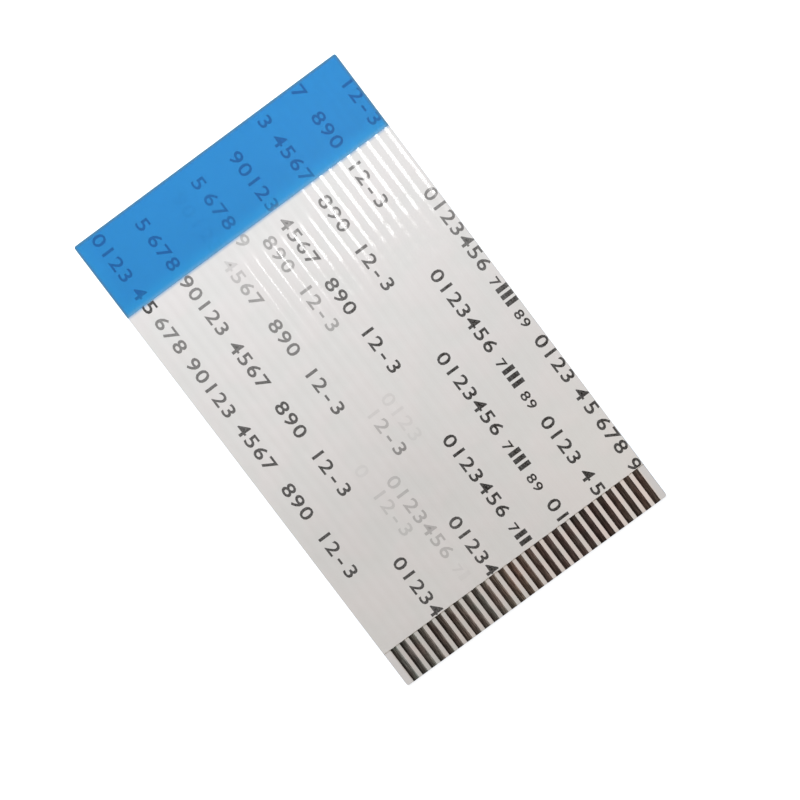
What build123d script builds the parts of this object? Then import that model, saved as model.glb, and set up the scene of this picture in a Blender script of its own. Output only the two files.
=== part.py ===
from build123d import *
import os

# A flat flex cable, lying flat. Two ribbed plastic films are laminated face to face round
# a row of flat rolled conductors. At each end one film is stripped back to bare the
# contacts, and a stiffener backs the other film there. The contacts face up at +X, where
# the cable is bare on top, and down at -X, where the upper stiffener shows.
# X runs along the cable, Y across it and Z up. The origin is under the cable's centre, on
# the surface that it lies on.

# Driving sizes, in millimetres
cable_length = 50.0
conductor_count = 28
pitch = 1.0
edge_margin = 1.0            # from a long edge to the centre of the nearest conductor
conductor_width = 0.6
conductor_thickness = 0.05
conductor_edge_bow = 0.012   # how far a rolled edge swells out at its middle
film_thickness = 0.06
stiffener_thickness = 0.19   # from the top of a film's ribs to the stiffener's outer face
stiffener_length = 8.0
exposed_length = 3.6         # of bare contact at each end
corner_radius = 0.2          # of the four corners, seen from above

# Sizes that follow
cable_width = (conductor_count - 1) * pitch + 2 * edge_margin
half_length = cable_length / 2
half_width = cable_width / 2
half_row = (conductor_count - 1) * pitch / 2
conductor_places = [index * pitch - half_row for index in range(conductor_count)]
film_length = cable_length - exposed_length

# Levels above the surface that the cable lies on. The films meet at the conductors' middle,
# and each rises over a conductor by as much as the conductor stands above that.
rib_height = conductor_thickness / 2
bond_level = stiffener_thickness + film_thickness + rib_height
hollow_level = bond_level + film_thickness
rib_level = hollow_level + rib_height
top_level = rib_level + stiffener_thickness


# Sections across the cable, drawn with Y to the right and Z up

def conductor_section(place):
    # A flat strip rolled from round wire, so its two edges swell out a little
    half_flat = conductor_width / 2 - conductor_edge_bow
    half_thickness = conductor_thickness / 2
    outline = make_face([
        Line((-half_flat, -half_thickness), (half_flat, -half_thickness)),
        ThreePointArc(
            (half_flat, -half_thickness), (conductor_width / 2, 0), (half_flat, half_thickness)),
        Line((half_flat, half_thickness), (-half_flat, half_thickness)),
        ThreePointArc(
            (-half_flat, half_thickness), (-conductor_width / 2, 0), (-half_flat, -half_thickness)),
    ])
    return Pos(place, bond_level) * outline


def ribbed_line():
    # The upper film's outer face, from one long edge to the other: a flat bonded margin, then
    # a wave that crests over each conductor and dips between two, in equal round arcs that
    # flow into each other, and the other margin
    half_arc = pitch / 4
    flank_level = (rib_level + hollow_level) / 2
    margin_end = half_row + 2 * half_arc
    flank_end = half_row + half_arc
    line = [
        Line((-half_width, hollow_level), (-margin_end, hollow_level)),
        TangentArc((-margin_end, hollow_level), (-flank_end, flank_level), tangent=(1, 0)),
    ]
    for place in conductor_places:
        if place != conductor_places[0]:
            middle = place - pitch / 2
            line.append(ThreePointArc(
                (middle - half_arc, flank_level), (middle, hollow_level),
                (middle + half_arc, flank_level)))
        line.append(ThreePointArc(
            (place - half_arc, flank_level), (place, rib_level), (place + half_arc, flank_level)))
    line.append(TangentArc(
        (margin_end, hollow_level), (flank_end, flank_level), tangent=(-1, 0)))
    line.append(Line((margin_end, hollow_level), (half_width, hollow_level)))
    return line


def film_section():
    # From the bonded face up to the ribs, with a seat for the upper half of each conductor
    outline = make_face(ribbed_line() + [
        Line((half_width, hollow_level), (half_width, bond_level)),
        Line((half_width, bond_level), (-half_width, bond_level)),
        Line((-half_width, bond_level), (-half_width, hollow_level)),
    ])
    return outline - [conductor_section(place) for place in conductor_places]


def stiffener_section():
    # Flat outside, and bonded down into the film's hollows inside
    return make_face(ribbed_line() + [
        Line((half_width, hollow_level), (half_width, top_level)),
        Line((half_width, top_level), (-half_width, top_level)),
        Line((-half_width, top_level), (-half_width, hollow_level)),
    ])


# Pieces

def run_along(section, length):
    # A section drawn out along the cable from its -X end
    return extrude(Plane.YZ.offset(-half_length) * section, amount=length)


def cut_corners(piece):
    # The films and stiffeners are sheared to one outline, with slightly rounded corners
    outline = RectangleRounded(cable_length, cable_width, corner_radius)
    return piece & extrude(outline, amount=top_level)


def turned_over(piece):
    # The cable's two sides are alike after half a turn about its middle line across
    return piece.rotate(Axis((0, 0, bond_level), (0, 1, 0)), 180)


upper_film = cut_corners(run_along(film_section(), film_length))
upper_stiffener = cut_corners(run_along(stiffener_section(), stiffener_length))

pieces = {
    "upper_film": upper_film,
    "lower_film": turned_over(upper_film),
    "upper_stiffener": upper_stiffener,
    "lower_stiffener": turned_over(upper_stiffener),
}
for index, place in enumerate(conductor_places, start=1):
    pieces[f"conductor_{index:02d}"] = run_along(conductor_section(place), cable_length)

os.makedirs("parts", exist_ok=True)
for node, piece in pieces.items():
    export_step(piece, f"parts/{node}.step")
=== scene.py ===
import math

import bmesh
import bpy
from mathutils import Matrix, Vector, noise


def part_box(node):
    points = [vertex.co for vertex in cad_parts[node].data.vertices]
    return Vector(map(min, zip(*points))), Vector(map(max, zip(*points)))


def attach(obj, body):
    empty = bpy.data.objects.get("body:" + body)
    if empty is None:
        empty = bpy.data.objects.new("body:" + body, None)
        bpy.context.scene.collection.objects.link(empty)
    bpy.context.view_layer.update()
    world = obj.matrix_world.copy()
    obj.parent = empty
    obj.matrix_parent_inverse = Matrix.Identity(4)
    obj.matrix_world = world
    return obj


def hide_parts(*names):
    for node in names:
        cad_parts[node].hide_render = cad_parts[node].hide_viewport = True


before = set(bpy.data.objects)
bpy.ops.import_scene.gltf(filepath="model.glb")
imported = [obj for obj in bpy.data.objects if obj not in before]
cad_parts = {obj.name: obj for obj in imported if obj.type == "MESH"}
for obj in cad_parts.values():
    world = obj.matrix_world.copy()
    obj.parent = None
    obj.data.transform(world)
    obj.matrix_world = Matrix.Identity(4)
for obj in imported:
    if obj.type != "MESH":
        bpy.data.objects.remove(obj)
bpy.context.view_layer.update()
mm = 0.001
cutReach = 1e-9                  # a cut that passes this close to a corner, in metres, meets it

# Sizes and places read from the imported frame
filmLow, filmHigh = (Vector(corner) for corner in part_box("upper_film"))
wireNames = sorted(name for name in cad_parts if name.startswith("conductor_"))
wireBoxes = [[Vector(corner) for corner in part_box(name)] for name in wireNames]
wireRows = [(low.y + high.y) / 2 for low, high in wireBoxes]
wireLow, wireHigh = wireBoxes[0]
pitch = wireRows[1] - wireRows[0]
halfWire = (wireHigh.y - wireLow.y) / 2
bondLevel = (wireLow.z + wireHigh.z) / 2
ribHeight = wireHigh.z - bondLevel
ribLevel = filmHigh.z
hollowLevel = ribLevel - ribHeight
filmThickness = hollowLevel - bondLevel
tapeEdge = Vector(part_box("upper_stiffener")[1]).x
halfLength = -filmLow.x
halfWidth = filmHigh.y
bareMiddle = (halfLength + filmHigh.x) / 2
halfBare = (halfLength - filmHigh.x) / 2


# Mesh helpers
def newObject(name, data):
    holder = bpy.data.objects.new(name, data)
    bpy.context.scene.collection.objects.link(holder)
    return holder


def meshFrom(bm, name):
    mesh = bpy.data.meshes.new(name)
    bm.to_mesh(mesh)
    bm.free()
    return mesh


def finishMesh(bm, name, body="root", sharpDegrees=10):
    # a bmesh made an object at the origin, smooth but for its real corners
    bmesh.ops.recalc_face_normals(bm, faces=bm.faces)
    for face in bm.faces:
        face.smooth = True
    for edge in bm.edges:
        if len(edge.link_faces) == 2 and edge.calc_face_angle(0) > math.radians(sharpDegrees):
            edge.smooth = False
    piece = newObject(name, meshFrom(bm, name))
    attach(piece, body)
    return piece


def cutAt(bm, places, normal, trim=False):
    # straight cuts through a whole bmesh, one at each place along the normal
    for place in places:
        bmesh.ops.bisect_plane(
            bm, geom=bm.verts[:] + bm.edges[:] + bm.faces[:], dist=cutReach,
            plane_co=Vector(normal) * place, plane_no=normal, clear_outer=trim)


# Films
film = {
    "cutsPerPitch": 10,          # across each conductor, for a smooth wave
    "arcShare": 0.25,            # of the pitch, from the middle of a crest or a dip to its end
    "cornerRadius": 0.2 * mm,
    "cornerSegments": 5,
    "seatWall": 0.01 * mm,       # width of the step beside a conductor's seat
    "tapeRoom": 0.012 * mm,      # the film lies this much lower under a stiffener
    "stepLength": 0.05 * mm,
    "cutWander": 0.025 * mm,     # unevenness of the stripped edge
    "cutWanderScale": 0.9 * mm,
}
crossStep = pitch / film["cutsPerPitch"]
crossCount = round(2 * halfWidth / crossStep)
crossPlaces = [crossStep * index - halfWidth for index in range(1, crossCount)]
tapeCuts = [tapeEdge - film["stepLength"], tapeEdge]


def nearestWire(y):
    # distance across to the nearest conductor's middle
    return min(abs(y - row) for row in wireRows)


def filmHeight(y):
    # the film's outer wave: crest arcs on the conductors, dips between, flat margins outside
    away = nearestWire(y) / pitch
    if away > 2 * film["arcShare"]:
        return hollowLevel
    if away < film["arcShare"]:
        return ribLevel - ribHeight / 2 * (away / film["arcShare"]) ** 2
    return hollowLevel + ribHeight / 2 * ((2 * film["arcShare"] - away) / film["arcShare"]) ** 2


def tapeSink(x):
    # how far the film is pressed down at this place along the cable
    share = (tapeEdge - x) / film["stepLength"]
    return film["tapeRoom"] * max(0, min(1, share))


def buildFilm():
    bm = bmesh.new()
    bmesh.ops.create_cube(bm, size=1)
    bmesh.ops.scale(bm, vec=filmHigh - filmLow, verts=bm.verts)
    bmesh.ops.translate(bm, vec=(filmHigh + filmLow) / 2, verts=bm.verts)
    corners = [e for e in bm.edges
               if all(v.co.x < 0 for v in e.verts) and e.verts[0].co.y == e.verts[1].co.y]
    bmesh.ops.bevel(
        bm, geom=corners, offset=film["cornerRadius"], offset_type="OFFSET",
        segments=film["cornerSegments"], profile=0.5, affect="EDGES", material=-1)
    cutAt(bm, crossPlaces, (0, 1, 0))
    for side in (-1, 1):
        walls = [row + side * (halfWire + film["seatWall"]) for row in wireRows]
        cutAt(bm, walls, (0, 1, 0))
    cutAt(bm, tapeCuts, (1, 0, 0))
    middle = (filmLow.z + filmHigh.z) / 2
    for vert in bm.verts:
        if vert.co.z > middle:
            vert.co.z = filmHeight(vert.co.y) - tapeSink(vert.co.x)
        else:
            seated = nearestWire(vert.co.y) < halfWire + film["seatWall"] / 2
            vert.co.z = bondLevel + (ribHeight if seated else 0)
        if vert.co.x > filmHigh.x - crossStep:
            spot = Vector((0, vert.co.y / film["cutWanderScale"], 0))
            vert.co.x -= film["cutWander"] * (1 + noise.noise(spot))
    return bm


def buildFilms():
    upper = finishMesh(buildFilm(), "film_upper")
    turned = buildFilm()
    bmesh.ops.rotate(
        turned, verts=turned.verts, cent=(0, 0, bondLevel), matrix=Matrix.Rotation(math.pi, 3, "Y"))
    lower = finishMesh(turned, "film_lower")
    for piece, node in ((upper, "upper_film"), (lower, "lower_film")):
        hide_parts(node)
    return upper, lower


upperFilm, lowerFilm = buildFilms()
print("films built:", len(upperFilm.data.polygons), "faces each")


# Print: plain counting figures and bars, in rows that run along the cable
ink = {
    "figureHeight": 1.21 * mm,
    "figureStep": 1.318 * mm,
    "curveSteps": 3,
    "boldness": 0.013,           # in shares of the type size
    "broadness": 1.32,           # figures are set wider than the plain type
    "cell": 0.86,                # in shares of its height, the width that a figure is centred in
    "merge": 1e-5,               # in the same shares, closer corners become one
    "smallShare": 0.72,
    "rise": 0.004 * mm,          # the ink's top above the film
    "root": 0.002 * mm,          # and its bottom below
    "runLength": 62.7 * mm,      # from the start of one run of groups to the next
    "barWidth": 0.46 * mm,
    "barGap": 0.28 * mm,
    "endRoom": 0.075 * mm,       # figures are trimmed this far from the film's ends
    "leastWidth": 0.2 * mm,      # and one that is left narrower than this is left out
    "weld": 0.001 * mm,          # cuts that pass this close to a figure's corner meet it
    "faintest": 0.03,            # weaker ink doesn't show
}
# where each group starts in a run, in mm, its figures or bars, and its share of the full size
inkGroups = [
    (0.0, "0123456", 1.0), (9.98, "7", ink["smallShare"]), (10.95, "|||", 1.0),
    (13.64, "89", ink["smallShare"]), (16.66, "0123", 1.0), (22.6, "4", 1.0), (24.2, "5", 1.0),
    (26.0, "678", 1.0), (30.7, "90123", 1.0), (38.07, "4567", 1.0), (44.95, "890", 1.0),
    (50.3, "12-3", 1.0),
]
# each row: baseline from the near long edge, where a run starts from the taped end, and the
# ink's strength at places along the row, all in mm
# In most rows the strength drops just past the stiffener, from 8.1 mm to about 22 mm: painted glare
# that veils the print there.
fullInk = [(0, 1.0), (7.9, 0.97), (8.1, 0.76), (13, 0.82), (22, 0.95), (30, 1.0), (50, 1.0)]
lightInk = [(0, 0.98), (7.9, 0.98), (8.1, 0.71), (13, 0.78), (22, 0.93), (30, 0.96), (50, 0.96)]
inkRows = [
    (27.74, 14.72, [(0, 1.0), (7.9, 0.97), (8.1, 0.64), (13, 0.70), (22, 0.88), (28, 0.98),
                    (50, 0.98)]),
    (23.80, 21.02, fullInk),
    (19.79, 27.4, fullInk),
    (15.80, 33.74, [(0, 1.0), (7.9, 0.95), (8.1, 0.62), (12, 0.8), (20, 0.95), (30, 1.0),
                    (50, 1.0)]),
    (11.77, 40.05, [(0, 0.9), (7.9, 0.8), (8.2, 0.0), (27, 0.0), (30, 0.55), (36, 0.9),
                    (50, 1.0)]),
    (5.56, 40.05, lightInk),
    (1.57, 46.4, lightInk),
    (13.64, 27.4, [(0, 0.0), (7.0, 0.0), (7.2, 0.55), (15, 0.55), (21, 0.45), (24, 0.0),
                   (27, 0.1), (31.5, 0.08), (33, 0.0)]),
    (9.53, 33.74, [(0, 0.1), (6.5, 0.1), (8.5, 0.12), (14, 0.7), (26.7, 0.9), (33, 0.25),
                   (38, 0.4), (42, 0.3), (44, 0.05), (47, 0.0)]),
    (7.82, 46.3, [(0, 0.0), (30, 0.0), (33, 0.18), (38, 0.22), (41, 0.12), (42, 0.0)]),
]


def strengthAt(marks, x):
    for (start, low), (end, high) in zip(marks, marks[1:]):
        if start <= x <= end:
            return low + (high - low) * (x - start) / (end - start)
    return 0.0


def barMesh():
    # a plain bar as a flat mesh, in shares of a figure's height
    bm = bmesh.new()
    bmesh.ops.create_grid(bm, x_segments=1, y_segments=1, size=0.5)
    width = ink["barWidth"] / ink["figureHeight"]
    bmesh.ops.scale(bm, vec=(width, 1, 1), verts=bm.verts)
    bmesh.ops.translate(bm, vec=(width / 2, 0.5, 0), verts=bm.verts)
    return meshFrom(bm, "figure_bar")


def figureMesh(figure):
    # one figure of the plain type as a flat mesh
    curve = bpy.data.curves.new("figure", "FONT")
    curve.body = figure
    curve.resolution_u = ink["curveSteps"]
    curve.offset = ink["boldness"]
    holder = newObject("figure", curve)
    bpy.context.view_layer.update()
    mesh = bpy.data.meshes.new_from_object(
        holder.evaluated_get(bpy.context.evaluated_depsgraph_get()))
    bpy.data.objects.remove(holder)
    bpy.data.curves.remove(curve)
    return mesh


def figureMeshes():
    meshes = {figure: figureMesh(figure) for figure in "0123456789-"}
    tall = max(v.co.y for v in meshes["1"].vertices)
    for mesh in meshes.values():
        places = [v.co.x for v in mesh.vertices]
        centre = (min(places) + max(places)) / 2
        mesh.transform(
            Matrix.Translation((ink["cell"] / 2, 0, 0))
            @ Matrix.Diagonal((ink["broadness"] / tall, 1 / tall, 1, 1))
            @ Matrix.Translation((-centre, 0, 0)))
    meshes["|"] = barMesh()
    return meshes


def addFigure(whole, layer, mesh, x, y, size, strength):
    # one figure laid on the film, cut where the film bends and trimmed at its ends
    bm = bmesh.new()
    bm.from_mesh(mesh)
    bmesh.ops.remove_doubles(bm, verts=bm.verts, dist=ink["merge"])
    bmesh.ops.scale(bm, vec=(size, size, 1), verts=bm.verts)
    bmesh.ops.translate(bm, vec=(x, y, 0), verts=bm.verts)
    low = min(v.co.y for v in bm.verts)
    high = max(v.co.y for v in bm.verts)
    cutAt(bm, [place for place in crossPlaces if low < place < high], (0, 1, 0))
    cutAt(bm, tapeCuts, (1, 0, 0))
    cutAt(bm, [halfLength - ink["endRoom"]], (-1, 0, 0), trim=True)
    cutAt(bm, [filmHigh.x - ink["endRoom"]], (1, 0, 0), trim=True)
    bmesh.ops.dissolve_degenerate(bm, dist=ink["weld"], edges=bm.edges)
    places = [v.co.x for v in bm.verts]
    if not bm.faces or max(places) - min(places) <= ink["leastWidth"]:
        bm.free()
        return
    for vert in bm.verts:
        vert.co.z = filmHeight(vert.co.y) - tapeSink(vert.co.x) - ink["root"]
    extruded = bmesh.ops.extrude_face_region(bm, geom=bm.faces[:])
    tops = [part for part in extruded["geom"] if isinstance(part, bmesh.types.BMVert)]
    bmesh.ops.translate(bm, vec=(0, 0, ink["rise"] + ink["root"]), verts=tops)
    laid = meshFrom(bm, "laid")
    known = len(whole.verts)
    whole.from_mesh(laid)
    bpy.data.meshes.remove(laid)
    whole.verts.ensure_lookup_table()
    for vert in whole.verts[known:]:
        vert[layer] = strength


def printRow(whole, layer, meshes, baseline, runStart, marks):
    row = baseline * mm - halfWidth
    for run in (-1, 0):
        for start, figures, share in inkGroups:
            size = ink["figureHeight"] * share
            bars = figures[0] == "|"
            step = ink["barWidth"] + ink["barGap"] if bars else ink["figureStep"] * share
            for index, figure in enumerate(figures):
                along = (runStart + start) * mm + run * ink["runLength"] + index * step
                strength = strengthAt(marks, along / mm)
                if strength > ink["faintest"]:
                    place = along - halfLength
                    addFigure(whole, layer, meshes[figure], place, row, size, strength)


def buildPrint():
    whole = bmesh.new()
    layer = whole.verts.layers.float.new("inkStrength")
    meshes = figureMeshes()
    for baseline, runStart, marks in inkRows:
        printRow(whole, layer, meshes, baseline, runStart, marks)
    for mesh in meshes.values():
        bpy.data.meshes.remove(mesh)
    return finishMesh(whole, "printed_figures")


printedFigures = buildPrint()
print("print built:", len(printedFigures.data.polygons), "faces")


# Node helpers
def addNode(tree, kind, **settings):
    node = tree.nodes.new(kind)
    for key, value in settings.items():
        setattr(node, key, value)
    return node


def linkInto(tree, source, socket):
    # a socket takes a link from another socket, or a plain value
    if isinstance(source, bpy.types.NodeSocket):
        tree.links.new(source, socket)
    else:
        socket.default_value = source


def mathNode(tree, operation, first, second=None):
    node = addNode(tree, "ShaderNodeMath", operation=operation)
    linkInto(tree, first, node.inputs[0])
    if second is not None:
        linkInto(tree, second, node.inputs[1])
    return node.outputs[0]


def multiply(tree, first, *others):
    for other in others:
        first = mathNode(tree, "MULTIPLY", first, other)
    return first


def absolute(tree, value):
    return mathNode(tree, "ABSOLUTE", value)


def mixColours(tree, factor, first, second, blend="MIX"):
    node = addNode(tree, "ShaderNodeMix", data_type="RGBA", blend_type=blend)
    linkInto(tree, factor, node.inputs["Factor"])
    linkInto(tree, first, node.inputs["A"])
    linkInto(tree, second, node.inputs["B"])
    return node.outputs["Result"]


def tintColour(tree, factor, colour, tint):
    return mixColours(tree, factor, colour, tint, "MULTIPLY")


def mixNormals(tree, factor, first, second):
    node = addNode(tree, "ShaderNodeMix", data_type="VECTOR")
    linkInto(tree, factor, node.inputs["Factor"])
    vectors = [socket for socket in node.inputs if socket.type == "VECTOR"]
    linkInto(tree, first, vectors[-2])
    linkInto(tree, second, vectors[-1])
    return node.outputs[1]


def mapRange(tree, value, fromLow, fromHigh, toLow, toHigh, kind="SMOOTHSTEP"):
    node = addNode(tree, "ShaderNodeMapRange", interpolation_type=kind)
    for socket, source in zip(node.inputs, (value, fromLow, fromHigh, toLow, toHigh)):
        linkInto(tree, source, socket)
    return node.outputs["Result"]


def between(tree, share, first, second):
    return mapRange(tree, share, 0.0, 1.0, first, second, "LINEAR")


def noiseNode(tree, place, scale, detail):
    node = addNode(tree, "ShaderNodeTexNoise")
    tree.links.new(place, node.inputs["Vector"])
    linkInto(tree, scale, node.inputs["Scale"])
    node.inputs["Detail"].default_value = detail
    return node.outputs["Fac"]


def bumpNode(tree, height, distance, over=None):
    node = addNode(tree, "ShaderNodeBump")
    linkInto(tree, height, node.inputs["Height"])
    if over is not None:
        linkInto(tree, over, node.inputs["Normal"])
    node.inputs["Strength"].default_value = 1.0
    node.inputs["Distance"].default_value = distance
    return node.outputs["Normal"]


def objectPlace(tree):
    return addNode(tree, "ShaderNodeTexCoord").outputs["Object"]


def splitAxes(tree, vector):
    separate = addNode(tree, "ShaderNodeSeparateXYZ")
    tree.links.new(vector, separate.inputs[0])
    return separate.outputs


def faceRise(tree):
    # how far a face looks up: 1 on top, 0 on a wall and -1 underneath
    geometry = addNode(tree, "ShaderNodeNewGeometry")
    return splitAxes(tree, geometry.outputs["Normal"])["Z"]


def newMaterial(name):
    material = bpy.data.materials.new(name)
    material.use_nodes = True
    tree = material.node_tree
    return material, tree, tree.nodes["Principled BSDF"]


def newGroup(name, inputs, colours, values):
    # a node group: its inputs with their usual values, then the colours and values it puts out
    group = bpy.data.node_groups.new(name, "ShaderNodeTree")
    for label, value in inputs.items():
        socket = group.interface.new_socket(
            label, in_out="INPUT", socket_type="NodeSocketFloat")
        socket.default_value = value
    for labels, kind in ((colours, "NodeSocketColor"), (values, "NodeSocketFloat")):
        for label in labels:
            group.interface.new_socket(label, in_out="OUTPUT", socket_type=kind)
    return group, group.nodes.new("NodeGroupInput"), group.nodes.new("NodeGroupOutput")


def placeGroup(tree, group, **values):
    node = addNode(tree, "ShaderNodeGroup", node_tree=group)
    for label, value in values.items():
        node.inputs[label].default_value = value
    return node


# Effects that several materials use, with their usual sizes
effects = {
    "lineWidth": 0.06 * mm,
    "lineLength": 4 * mm,
    "lineDetail": 3,
    "cloudSize": 5 * mm,
    "cloudDetail": 2,
    "bandWidth": 0.1 * mm,
    "patchSize": 1.7 * mm,
    "patchDetail": 1,
    "endsFrom": 0.5,             # in shares of half the bare length, from its middle
    "spread": (0.35, 0.65),      # most values of a noise lie between these
    "wideSpread": (0.3, 0.7),    # and nearly all between these
}


def drawnGrainGroup():
    # fine lines drawn out along the cable, and soft clouding
    group, start, end = newGroup(
        "drawnGrain",
        {"Line Width": effects["lineWidth"], "Line Length": effects["lineLength"],
         "Cloud Size": effects["cloudSize"]},
        [], ["Lines", "Clouds"])
    place = objectPlace(group)
    axes = splitAxes(group, place)
    lineSpot = addNode(group, "ShaderNodeCombineXYZ")
    for axis, size in (("X", "Line Length"), ("Y", "Line Width")):
        drawn = mathNode(group, "DIVIDE", axes[axis], start.outputs[size])
        group.links.new(drawn, lineSpot.inputs[axis])
    lines = noiseNode(group, lineSpot.outputs[0], 1, effects["lineDetail"])
    cloudScale = mathNode(group, "DIVIDE", 1.0, start.outputs["Cloud Size"])
    clouds = noiseNode(group, place, cloudScale, effects["cloudDetail"])
    group.links.new(lines, end.inputs["Lines"])
    group.links.new(clouds, end.inputs["Clouds"])
    return group


def outlineBandGroup():
    # a mask that rises towards the cable's sheared outline
    group, start, end = newGroup(
        "outlineBand",
        {"Half Length": halfLength, "Half Width": halfWidth, "Band": effects["bandWidth"]},
        [], ["Mask"])
    axes = splitAxes(group, objectPlace(group))
    gaps = [mathNode(group, "SUBTRACT", start.outputs[reach], absolute(group, axes[axis]))
            for axis, reach in (("X", "Half Length"), ("Y", "Half Width"))]
    share = mathNode(
        group, "DIVIDE", mathNode(group, "MINIMUM", *gaps), start.outputs["Band"])
    group.links.new(mapRange(group, share, 0.0, 1.0, 1.0, 0.0), end.inputs["Mask"])
    return group


def tarnishGroup():
    # warmer and cooler patches, and both ends of the bare contacts
    group, start, end = newGroup(
        "tarnish", {"Patch Size": effects["patchSize"], "Half Bare": halfBare},
        [], ["Warmth", "Ends"])
    place = objectPlace(group)
    patchScale = mathNode(group, "DIVIDE", 1.0, start.outputs["Patch Size"])
    patches = noiseNode(group, place, patchScale, effects["patchDetail"])
    warmth = mapRange(group, patches, *effects["spread"], 0.0, 1.0)
    group.links.new(warmth, end.inputs["Warmth"])
    along = absolute(group, splitAxes(group, place)["X"])
    away = absolute(group, mathNode(group, "SUBTRACT", along, bareMiddle))
    share = mathNode(group, "DIVIDE", away, start.outputs["Half Bare"])
    ends = mapRange(group, share, effects["endsFrom"], 1.0, 0.0, 1.0)
    group.links.new(ends, end.inputs["Ends"])
    return group


drawnGrain = drawnGrainGroup()
outlineBand = outlineBandGroup()
tarnish = tarnishGroup()


def tarnishColour(tree, colour, tint):
    # a colour with cool and warm patches, and with a tint at the contacts' ends
    node = placeGroup(tree, tarnish)
    patches = mixColours(tree, node.outputs["Warmth"], tint["cool"], tint["warm"])
    colour = tintColour(tree, 1.0, colour, patches)
    return tintColour(tree, node.outputs["Ends"], colour, tint["ends"])


# Film material
filmLook = {
    "colour": (0.824, 0.814, 0.805, 1),
    "greyer": (0.794, 0.784, 0.776, 1),
    "grain": {"Line Width": 0.09 * mm, "Line Length": 6 * mm, "Cloud Size": 9 * mm},
    "patches": {"Patch Size": 3 * mm},
    "patchCool": (0.986, 0.996, 0.993, 1),
    "patchWarm": (1.014, 1.001, 1.003, 1),
    "paintedCornerLight": (1.075, 1.07, 1.06, 1),       # painted light: paler towards the far corner by the contacts
    "farAlong": (5 * mm, 21 * mm),
    "farAcross": (0.5 * mm, 14.5 * mm),
    "nearDip": (0.965, 0.965, 0.965, 1),     # and greyer in a patch on the near side
    "dipMiddle": 10 * mm,
    "dipLength": 9 * mm,
    "dipAcross": (-2.5 * mm, 4.5 * mm),
    "bondReach": 1.1,                        # of a rib's height: the inner face lies within it
    "bondNearToneAndShade": (0.69, 0.66, 0.635, 1),      # the inner face, bare between the contacts, lighter towards the far long edge: partly its own tone, partly painted light
    "bondFarToneAndLight": (0.92, 0.83, 0.79, 1),
    "bondCurve": 1.35,
    "bondMargin": (0.80, 0.79, 0.79, 1),     # and outside the first and last of them
    "marginFrom": (0.32 * mm, 0.5 * mm),
    "bondTint": {"cool": (0.975, 1.0, 1.0, 1), "warm": (1.025, 0.995, 0.985, 1),
                 "ends": (0.975, 1.0, 1.0, 1)},
    "spillBlue": (0.22, 0.45, 0.70, 1),      # light through a stiffener's cut edge
    "spillShare": 0.65,
    "spillLength": 0.32 * mm,
    "paintedThroughTapeBlue": (0.04, 0.40, 0.62, 1),      # the outer face under a stiffener, painted the blue that light through the stiffener gives it
    "coverStep": 0.02 * mm,
    # painted shade: a darker band along the sheared outline
    "outlineShadeColour": (0.60, 0.60, 0.60, 1),
    "edgeShare": 0.5,
    "edgeBand": 0.08 * mm,
    "groove": (0.21, 0.31),                  # from a conductor's middle, in shares of the pitch
    "groovePaintedLift": (1.035, 1.035, 1.035, 1),  # painted light: lifts the grooves to make up for their gloss, which greys them
    "grooveRoughness": 0.12,
    "pressedRoughness": 0.6,                 # over the conductors, where the rollers pressed
    "coveredRoughness": 0.75,                # glued under a stiffener
    "glossyFrom": (-4.4 * mm, -3.2 * mm),    # nearer than this, the upper face is dull
    "dullAlong": (-15.6 * mm, -13.6 * mm),   # and in a patch beside the upper stiffener
    "dullAcross": (3.4 * mm, 5.4 * mm),
    "dullLeft": 0.3,                         # the share of the gloss that is left there
    "waves": {"Line Width": 0.09 * mm, "Line Length": 6 * mm, "Cloud Size": 3 * mm},
    "lineBump": 0.0004 * mm,
    "waveBump": 0.058 * mm,
}


def outerFilm(group, axes):
    # the ribbed outer face, clouded, with painted light that makes it paler towards the far corner,
    # and greyer by place
    grain = placeGroup(group, drawnGrain, **filmLook["grain"])
    colour = mixColours(group, grain.outputs["Clouds"], filmLook["colour"], filmLook["greyer"])
    patch = placeGroup(group, tarnish, **filmLook["patches"])
    tone = mixColours(
        group, patch.outputs["Warmth"], filmLook["patchCool"], filmLook["patchWarm"])
    colour = tintColour(group, 1.0, colour, tone)
    # painted light, paler towards the far corner
    far = multiply(group, mapRange(group, axes["X"], *filmLook["farAlong"], 0.0, 1.0),
                   mapRange(group, axes["Y"], *filmLook["farAcross"], 0.0, 1.0))
    colour = tintColour(group, far, colour, filmLook["paintedCornerLight"])
    away = absolute(group, mathNode(group, "SUBTRACT", axes["X"], filmLook["dipMiddle"]))
    dip = multiply(group, mapRange(group, away, 0.0, filmLook["dipLength"], 1.0, 0.0),
                   mapRange(group, axes["Y"], *filmLook["dipAcross"], 1.0, 0.0))
    return tintColour(group, dip, colour, filmLook["nearDip"])


def innerFilm(group, axes):
    # the bonded face, which shows between the bare contacts and outside them
    # lighter towards the far long edge: partly the bond's own tone, partly painted light
    across = mapRange(group, axes["Y"], -halfWidth, halfWidth, 0.0, 1.0, "LINEAR")
    across = mathNode(group, "POWER", across, filmLook["bondCurve"])
    bond = mixColours(group, across, filmLook["bondNearToneAndShade"], filmLook["bondFarToneAndLight"])
    bond = tarnishColour(group, bond, filmLook["bondTint"])
    reaches = [wireRows[-1] + reach for reach in filmLook["marginFrom"]]
    margin = mapRange(group, absolute(group, axes["Y"]), *reaches, 0.0, 1.0)
    return mixColours(group, margin, bond, filmLook["bondMargin"])


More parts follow.
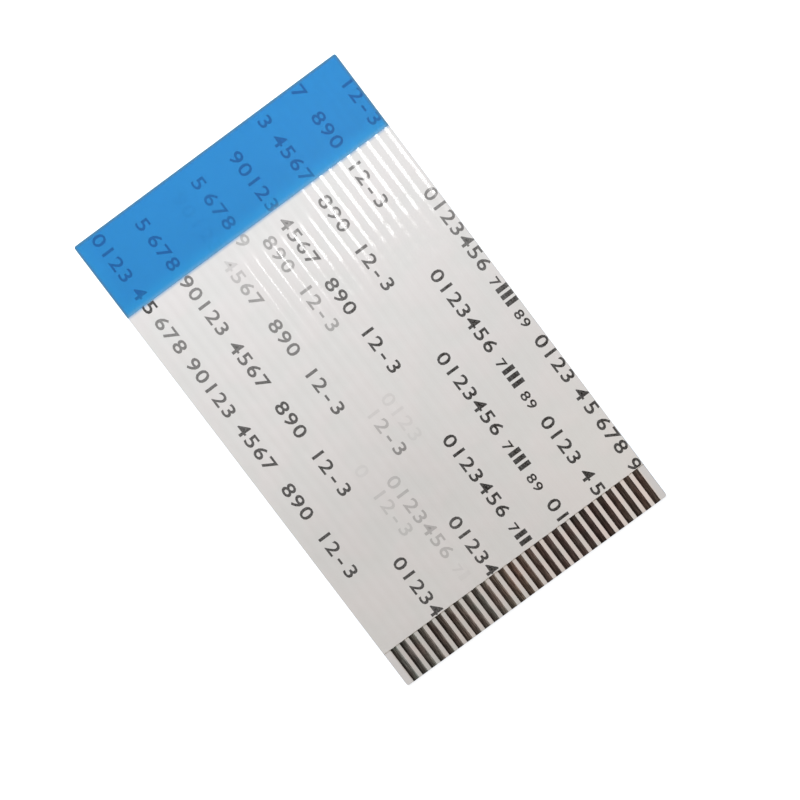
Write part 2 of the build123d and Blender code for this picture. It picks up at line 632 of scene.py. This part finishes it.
def glossyGrooves(group, axes, height):
    # a mask for the grooves between the conductors, weaker where the upper face is dull
    rows = mathNode(group, "DIVIDE", mathNode(group, "SUBTRACT", axes["Y"], wireRows[0]), pitch)
    away = absolute(group, mathNode(group, "SUBTRACT", rows, mathNode(group, "ROUND", rows)))
    groove = mapRange(group, away, *filmLook["groove"], 0.0, 1.0)
    along = mapRange(group, axes["X"], *filmLook["dullAlong"], filmLook["dullLeft"], 1.0)
    across = mapRange(group, axes["Y"], *filmLook["dullAcross"], 0.0, 1.0)
    glossy = multiply(group, mathNode(group, "MAXIMUM", along, across),
                      mapRange(group, axes["Y"], *filmLook["glossyFrom"], 0.0, 1.0))
    lowerFace = mathNode(group, "LESS_THAN", height, 0.0)
    return multiply(group, groove, mathNode(group, "MAXIMUM", glossy, lowerFace))


def filmShadeGroup():
    # the film's colour by place, with painted light and shade in it; the ink over it takes the
    # same, where it is worn or where painted glints wash it out
    group, start, end = newGroup(
        "filmShade", {"Edge Share": filmLook["edgeShare"]},
        ["Colour"], ["Covered", "Groove", "Roughness"])
    axes = splitAxes(group, objectPlace(group))
    height = mathNode(group, "SUBTRACT", axes["Z"], bondLevel)
    depth = absolute(group, height)
    inner = mapRange(
        group, depth, ribHeight * filmLook["bondReach"], filmThickness / 2, 1.0, 0.0)
    colour = mixColours(group, inner, outerFilm(group, axes), innerFilm(group, axes))
    # each stiffener covers one end of one side
    towards = multiply(group, axes["X"], mathNode(group, "SIGN", height), -1.0)
    outer = mathNode(group, "GREATER_THAN", depth, filmThickness / 2)
    under = mapRange(
        group, towards, -tapeEdge - filmLook["coverStep"], -tapeEdge, 0.0, 1.0, "LINEAR")
    covered = multiply(group, under, outer)
    spill = mapRange(
        group, towards, -tapeEdge - filmLook["spillLength"], -tapeEdge,
        0.0, filmLook["spillShare"])
    colour = mixColours(group, multiply(group, spill, outer), colour, filmLook["spillBlue"])
    # painted blue of the light through a stiffener, over the covered face
    colour = mixColours(group, covered, colour, filmLook["paintedThroughTapeBlue"])
    # painted shade along the sheared outline
    band = placeGroup(group, outlineBand, Band=filmLook["edgeBand"])
    edge = multiply(group, band.outputs["Mask"], start.outputs["Edge Share"])
    colour = tintColour(group, edge, colour, filmLook["outlineShadeColour"])
    groove = glossyGrooves(group, axes, height)
    # painted light: the glossy grooves are lifted a little
    colour = tintColour(group, groove, colour, filmLook["groovePaintedLift"])
    roughness = between(
        group, groove, filmLook["pressedRoughness"], filmLook["grooveRoughness"])
    roughness = between(group, covered, roughness, filmLook["coveredRoughness"])
    group.links.new(colour, end.inputs["Colour"])
    group.links.new(covered, end.inputs["Covered"])
    group.links.new(groove, end.inputs["Groove"])
    group.links.new(roughness, end.inputs["Roughness"])
    return group


filmShade = filmShadeGroup()


def filmMaterial():
    material, tree, shader = newMaterial("white_polyester_film")
    shade = placeGroup(tree, filmShade)
    tree.links.new(shade.outputs["Colour"], shader.inputs["Base Color"])
    tree.links.new(shade.outputs["Roughness"], shader.inputs["Roughness"])
    grain = placeGroup(tree, drawnGrain, **filmLook["waves"])
    fine = bumpNode(tree, grain.outputs["Lines"], filmLook["lineBump"])
    soft = bumpNode(tree, grain.outputs["Clouds"], filmLook["waveBump"], fine)
    # glued under a stiffener, the film's waves no longer catch the light
    flat = addNode(tree, "ShaderNodeCombineXYZ")
    tree.links.new(mathNode(tree, "SIGN", faceRise(tree)), flat.inputs["Z"])
    normal = mixNormals(tree, shade.outputs["Covered"], soft, flat.outputs[0])
    tree.links.new(normal, shader.inputs["Normal"])
    return material


# Stiffener material
tapeLook = {
    "colour": (0.024, 0.197, 0.585, 1),
    "deeper": (0.020, 0.179, 0.545, 1),
    "grain": {"Line Width": 0.2 * mm, "Line Length": 2.5 * mm, "Cloud Size": 4 * mm},
    "outlineShadeColour": (0.10, 0.245, 0.355, 1),   # painted shade, a greyer line along the sheared outline
    "edgeBand": 0.32 * mm,
    "innerColour": (0.34, 0.46, 0.48, 1),    # paler along the cut beside the bare film
    "innerLength": 0.42 * mm,
    "innerShare": 0.6,
    "paler": (0.026, 0.29, 0.67, 1),         # and a brighter blue in a wider band there
    "palerLength": 1.6 * mm,
    "nearShare": 0.4,                        # and a little along the near long edge
    "wallColour": (0.014, 0.10, 0.28, 1),
    "broadFrom": (0.3, 0.7),                 # how far a face looks up, from a wall to a broad face
    "alpha": 0.35,                           # of the broad faces; the walls are solid
    "edgeAlpha": 0.85,
    "roughness": 0.3,
    "gloss": 0.07,
    "lineBump": 0.0008 * mm,
}


def tapeMaterial():
    material, tree, shader = newMaterial("blue_polyester_stiffener")
    grain = placeGroup(tree, drawnGrain, **tapeLook["grain"])
    colour = mixColours(tree, grain.outputs["Clouds"], tapeLook["colour"], tapeLook["deeper"])
    axes = splitAxes(tree, objectPlace(tree))
    gap = mathNode(tree, "SUBTRACT", absolute(tree, axes["X"]), abs(tapeEdge))
    wide = mapRange(tree, gap, 0.0, tapeLook["palerLength"], 1.0, 0.0)
    near = mapRange(
        tree, axes["Y"], -halfWidth, tapeLook["palerLength"] - halfWidth,
        tapeLook["nearShare"], 0.0)
    wide = mathNode(tree, "MAXIMUM", wide, near)
    colour = mixColours(tree, wide, colour, tapeLook["paler"])
    inner = mapRange(tree, gap, 0.0, tapeLook["innerLength"], tapeLook["innerShare"], 0.0)
    colour = mixColours(tree, inner, colour, tapeLook["innerColour"])
    # painted shade along the sheared outline, more opaque there
    band = placeGroup(tree, outlineBand, Band=tapeLook["edgeBand"])
    colour = mixColours(tree, band.outputs["Mask"], colour, tapeLook["outlineShadeColour"])
    broad = mapRange(tree, absolute(tree, faceRise(tree)), *tapeLook["broadFrom"], 0.0, 1.0)
    colour = mixColours(tree, broad, tapeLook["wallColour"], colour)
    tree.links.new(colour, shader.inputs["Base Color"])
    alpha = between(tree, band.outputs["Mask"], tapeLook["alpha"], tapeLook["edgeAlpha"])
    tree.links.new(between(tree, broad, 1.0, alpha), shader.inputs["Alpha"])
    shader.inputs["Specular IOR Level"].default_value = tapeLook["gloss"]
    shader.inputs["Roughness"].default_value = tapeLook["roughness"]
    normal = bumpNode(tree, grain.outputs["Lines"], tapeLook["lineBump"])
    tree.links.new(normal, shader.inputs["Normal"])
    return material


# Conductor material
wireLook = {
    # tones met from the near long edge to the far one, dull tin to browner tin
    "tones": [
        (0.0, (0.43, 0.44, 0.43, 1)), (0.2, (0.37, 0.31, 0.28, 1)),
        (0.35, (0.37, 0.36, 0.34, 1)), (0.47, (0.46, 0.34, 0.28, 1)),
        (0.62, (0.255, 0.20, 0.19, 1)), (1.0, (0.285, 0.214, 0.19, 1)),
    ],
    "stray": 0.04,               # how far along the tones one conductor may stray
    "seed": 3.7,
    "uneven": 0.2,               # how much lighter or darker one conductor is than the next
    "grain": {"Line Width": 0.09 * mm, "Line Length": 1.0 * mm, "Cloud Size": 1.5 * mm},
    "lines": (0.52, 1.45),       # the darkest and the lightest of the drawn lines
    "tint": {"cool": (0.955, 1.0, 0.975, 1), "warm": (1.07, 0.985, 0.97, 1),
             "ends": (0.94, 1.0, 0.985, 1)},
    # a painted highlight band lies a little off the middle, and both sides of it are painted
    # darker, as shade
    "highlightPlace": 0.1,           # in shares of the pitch
    "highlightReach": 0.06,
    "paintedEdgeShade": (0.28, 0.26, 0.25, 1),
    "farEdges": 0.6,             # how much of that shade the far contacts keep
    # the far rolled edge is duller and catches the light as a painted highlight, less so on the far
    # contacts
    "rimHighlight": (0.09, 0.33),         # from a conductor's middle, in shares of the pitch
    "rimFade": (0.35, 0.95),     # from the near contact, in shares of the way to the far one
    "rimMetal": 0.4,
    "roughness": (0.2, 0.28),
    "lineBump": 0.0012 * mm,
}


def wireTone(tree, count, share):
    # each conductor's own tone, by its place and by chance, and how light or dark it is
    chance = addNode(tree, "ShaderNodeTexWhiteNoise", noise_dimensions="1D")
    linkInto(tree, mathNode(tree, "ADD", count, wireLook["seed"]), chance.inputs["W"])
    ramp = addNode(tree, "ShaderNodeValToRGB")
    while len(ramp.color_ramp.elements) < len(wireLook["tones"]):
        ramp.color_ramp.elements.new(0.5)
    for element, (position, tone) in zip(ramp.color_ramp.elements, wireLook["tones"]):
        element.position = position
        element.color = tone
    stray = multiply(
        tree, mathNode(tree, "SUBTRACT", chance.outputs["Value"], 0.5), wireLook["stray"])
    linkInto(tree, mathNode(tree, "ADD", share, stray), ramp.inputs["Fac"])
    level = mapRange(
        tree, chance.outputs["Value"], 0.0, 1.0, 1 - wireLook["uneven"], 1 + wireLook["uneven"])
    return ramp.outputs["Color"], level


def wireMaterial():
    material, tree, shader = newMaterial("tinned_copper")
    grain = placeGroup(tree, drawnGrain, **wireLook["grain"])
    y = splitAxes(tree, objectPlace(tree))["Y"]
    across = mathNode(tree, "DIVIDE", mathNode(tree, "SUBTRACT", y, wireRows[0]), pitch)
    count = mathNode(tree, "ROUND", across)
    offset = mathNode(tree, "SUBTRACT", across, count)
    share = mathNode(tree, "DIVIDE", across, len(wireRows) - 1)
    tone, level = wireTone(tree, count, share)
    lines = mapRange(tree, grain.outputs["Lines"], *effects["spread"], *wireLook["lines"])
    lit = addNode(tree, "ShaderNodeVectorMath", operation="SCALE")
    tree.links.new(tone, lit.inputs[0])
    tree.links.new(multiply(tree, lines, level), lit.inputs["Scale"])
    # painted highlight on the far rolled edge: its shade is lifted and its metal duller
    rimHighlight = multiply(tree, mapRange(tree, offset, *wireLook["rimHighlight"], 0.0, 1.0),
                   mapRange(tree, share, *wireLook["rimFade"], 1.0, 0.0))
    # painted highlight band off the middle, and painted shade towards both sides
    fromHighlight = absolute(tree, mathNode(tree, "SUBTRACT", offset, wireLook["highlightPlace"]))
    edge = mapRange(tree, fromHighlight, wireLook["highlightReach"], halfWire / pitch, 0.0, 1.0)
    edge = multiply(tree, edge, between(tree, share, 1.0, wireLook["farEdges"]),
                    mathNode(tree, "SUBTRACT", 1.0, rimHighlight))
    colour = tintColour(tree, edge, lit.outputs[0], wireLook["paintedEdgeShade"])
    colour = tarnishColour(tree, colour, wireLook["tint"])
    tree.links.new(colour, shader.inputs["Base Color"])
    tree.links.new(between(tree, rimHighlight, 1.0, wireLook["rimMetal"]), shader.inputs["Metallic"])
    roughness = mapRange(
        tree, grain.outputs["Clouds"], *effects["wideSpread"], *wireLook["roughness"])
    tree.links.new(roughness, shader.inputs["Roughness"])
    normal = bumpNode(tree, grain.outputs["Lines"], wireLook["lineBump"])
    tree.links.new(normal, shader.inputs["Normal"])
    return material


# Ink material
inkLook = {
    "colour": (0.029, 0.026, 0.024, 1),
    "paintedThroughTapeInk": (0.0, 0.032, 0.084, 1),   # under a stiffener, painted the blue that light through it gives the ink
    "glintShare": 0.45,           # painted highlight: the film's colour shows through the ink in the grooves beside the stiffener, where the glints lie
    "glintLength": 9 * mm,
    "grainSize": 0.12 * mm,
    "grainDetail": 2,
    "worn": (0.88, 1.04),        # the ink's weakest and strongest grains
}


def inkMaterial():
    material, tree, shader = newMaterial("dark_grey_ink")
    place = objectPlace(tree)
    strength = addNode(tree, "ShaderNodeAttribute", attribute_name="inkStrength")
    speckle = noiseNode(tree, place, 1 / inkLook["grainSize"], inkLook["grainDetail"])
    worn = mapRange(tree, speckle, *effects["wideSpread"], *inkLook["worn"])
    shade = placeGroup(tree, filmShade)
    # painted highlight: the glints in the grooves beside the stiffener wash the ink out there
    glintNearTape = mapRange(
        tree, splitAxes(tree, place)["X"], tapeEdge + inkLook["glintLength"], tapeEdge,
        0.0, inkLook["glintShare"], "LINEAR")
    bare = mathNode(tree, "SUBTRACT", 1.0, shade.outputs["Covered"])
    glinted = multiply(tree, glintNearTape, bare, shade.outputs["Groove"])
    share = multiply(
        tree, strength.outputs["Fac"], worn, mathNode(tree, "SUBTRACT", 1.0, glinted))
    # under a stiffener, the ink is painted the blue of the light through it
    tone = mixColours(
        tree, shade.outputs["Covered"], inkLook["colour"], inkLook["paintedThroughTapeInk"])
    colour = mixColours(tree, share, shade.outputs["Colour"], tone)
    tree.links.new(colour, shader.inputs["Base Color"])
    tree.links.new(shade.outputs["Roughness"], shader.inputs["Roughness"])
    return material


def dress(piece, material):
    piece.data.materials.clear()
    piece.data.materials.append(material)


def dressAll():
    filmFinish = filmMaterial()
    for piece in (upperFilm, lowerFilm):
        dress(piece, filmFinish)
    dress(printedFigures, inkMaterial())
    tapeFinish = tapeMaterial()
    for name in ("upper_stiffener", "lower_stiffener"):
        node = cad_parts[name]
        for slot in node.material_slots:
            slot.material = tapeFinish
        node.visible_shadow = False
    wireFinish = wireMaterial()
    for name in wireNames:
        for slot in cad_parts[name].material_slots:
            slot.material = wireFinish


dressAll()
print("materials set")


# Studio
studio = {
    "floorSize": 3.0,
    "floorPlace": Vector((0, 0, -0.01 * mm)),   # a hair under the stiffener, or the faces mix
    "floorColour": (0.80, 0.88, 0.96, 1),
    "floorRoughness": 0.9,
    "floorGlow": 0.76,
    "floorGlowColour": (0.98, 1.0, 1.03, 1),
    "ambient": 0.275,
    "ambientColour": (1.2, 1.0, 0.8, 1),
    "keyPlace": Vector((-0.112, 0.012, 0.11)),
    "keyColour": (0.93, 1.0, 1.08),
    "keySize": (0.08, 0.08),
    "keyWatts": 0.222,
    "streakPlace": Vector((-0.00585, 0.0069, 0.060)),
    "streakLean": Vector((0.115, 0.993, 0)) * 0.01 * mm,   # aims it down, turned a little
    "streakSize": (0.0081, 0.0120),
    "streakWatts": 0.0055,
    "cardPlace": Vector((0.05, -0.015, 0.20)),
    "cardSize": 0.5,
    "cardColour": (0.16, 0.14, 0.125, 1),
}


def lookShare(tree):
    # 1 for rays that look at a thing, straight, mirrored or through glass, and 0 for light
    path = addNode(tree, "ShaderNodeLightPath")
    seen = mathNode(
        tree, "MAXIMUM", path.outputs["Is Camera Ray"], path.outputs["Is Glossy Ray"])
    return mathNode(tree, "MAXIMUM", seen, path.outputs["Is Transmission Ray"])


def buildWorld():
    world = bpy.data.worlds.new("studio")
    world.use_nodes = True
    bpy.context.scene.world = world
    tree = world.node_tree
    background = tree.nodes["Background"]
    seen = lookShare(tree)
    colour = mixColours(tree, seen, studio["ambientColour"], (1, 1, 1, 1))
    tree.links.new(colour, background.inputs["Color"])
    strength = between(tree, seen, studio["ambient"], 1.0)
    tree.links.new(strength, background.inputs["Strength"])


def newPlane(name, size, place):
    # a level square
    bm = bmesh.new()
    bmesh.ops.create_grid(bm, x_segments=1, y_segments=1, size=size / 2)
    bmesh.ops.translate(bm, vec=place, verts=bm.verts)
    return newObject(name, meshFrom(bm, name))


def buildFloor():
    floor = newPlane("floor", studio["floorSize"], studio["floorPlace"])
    material, tree, shader = newMaterial("pale_floor")
    shader.inputs["Base Color"].default_value = studio["floorColour"]
    shader.inputs["Roughness"].default_value = studio["floorRoughness"]
    shader.inputs["Specular IOR Level"].default_value = 0.0
    shader.inputs["Emission Color"].default_value = studio["floorGlowColour"]
    glow = multiply(tree, lookShare(tree), studio["floorGlow"])
    tree.links.new(glow, shader.inputs["Emission Strength"])
    dress(floor, material)


def buildCard():
    # a dark card above, seen only in the contacts' and films' reflections
    card = newPlane("card", studio["cardSize"], studio["cardPlace"])
    card.visible_camera = False
    card.visible_diffuse = False
    card.visible_shadow = False
    card.visible_transmission = False
    material, tree, shader = newMaterial("dark_card")
    shader.inputs["Base Color"].default_value = (0, 0, 0, 1)
    shader.inputs["Specular IOR Level"].default_value = 0.0
    shader.inputs["Emission Color"].default_value = studio["cardColour"]
    shader.inputs["Emission Strength"].default_value = 1.0
    dress(card, material)


def addLamp(name, place, aim, size, watts, colour=(1, 1, 1), onlyGloss=False):
    lamp = bpy.data.lights.new(name, "AREA")
    lamp.shape = "RECTANGLE"
    lamp.size, lamp.size_y = size
    lamp.energy = watts
    lamp.color = colour
    holder = newObject(name, lamp)
    holder.visible_diffuse = not onlyGloss
    holder.location = place
    holder.rotation_euler = (Vector(aim) - place).to_track_quat("-Z", "Y").to_euler()


buildWorld()
buildFloor()
buildCard()
addLamp("key_lamp", studio["keyPlace"], (0, 0, 0), studio["keySize"], studio["keyWatts"],
        colour=studio["keyColour"])
addLamp("streak_lamp", studio["streakPlace"],
        studio["streakPlace"] * Vector((1, 1, 0)) + studio["streakLean"], studio["streakSize"],
        studio["streakWatts"], onlyGloss=True)

# Camera, long lens from high above, turned as in the photograph
view = {
    "place": Vector((-0.10846, 0.05034, 0.68322)),
    "turn": (-9.932, -2.239, 53.444),        # in degrees
    "lens": 348.9,
    "sensor": 36,
    "clip": (0.01, 20),
}
camera = bpy.data.cameras.new("camera")
camera.lens = view["lens"]
camera.sensor_width = view["sensor"]
camera.clip_start, camera.clip_end = view["clip"]
cameraHolder = newObject("camera", camera)
cameraHolder.location = view["place"]
cameraHolder.rotation_euler = [math.radians(angle) for angle in view["turn"]]
bpy.context.scene.camera = cameraHolder
bpy.context.scene.view_settings.view_transform = "Standard"
print("studio and camera set")
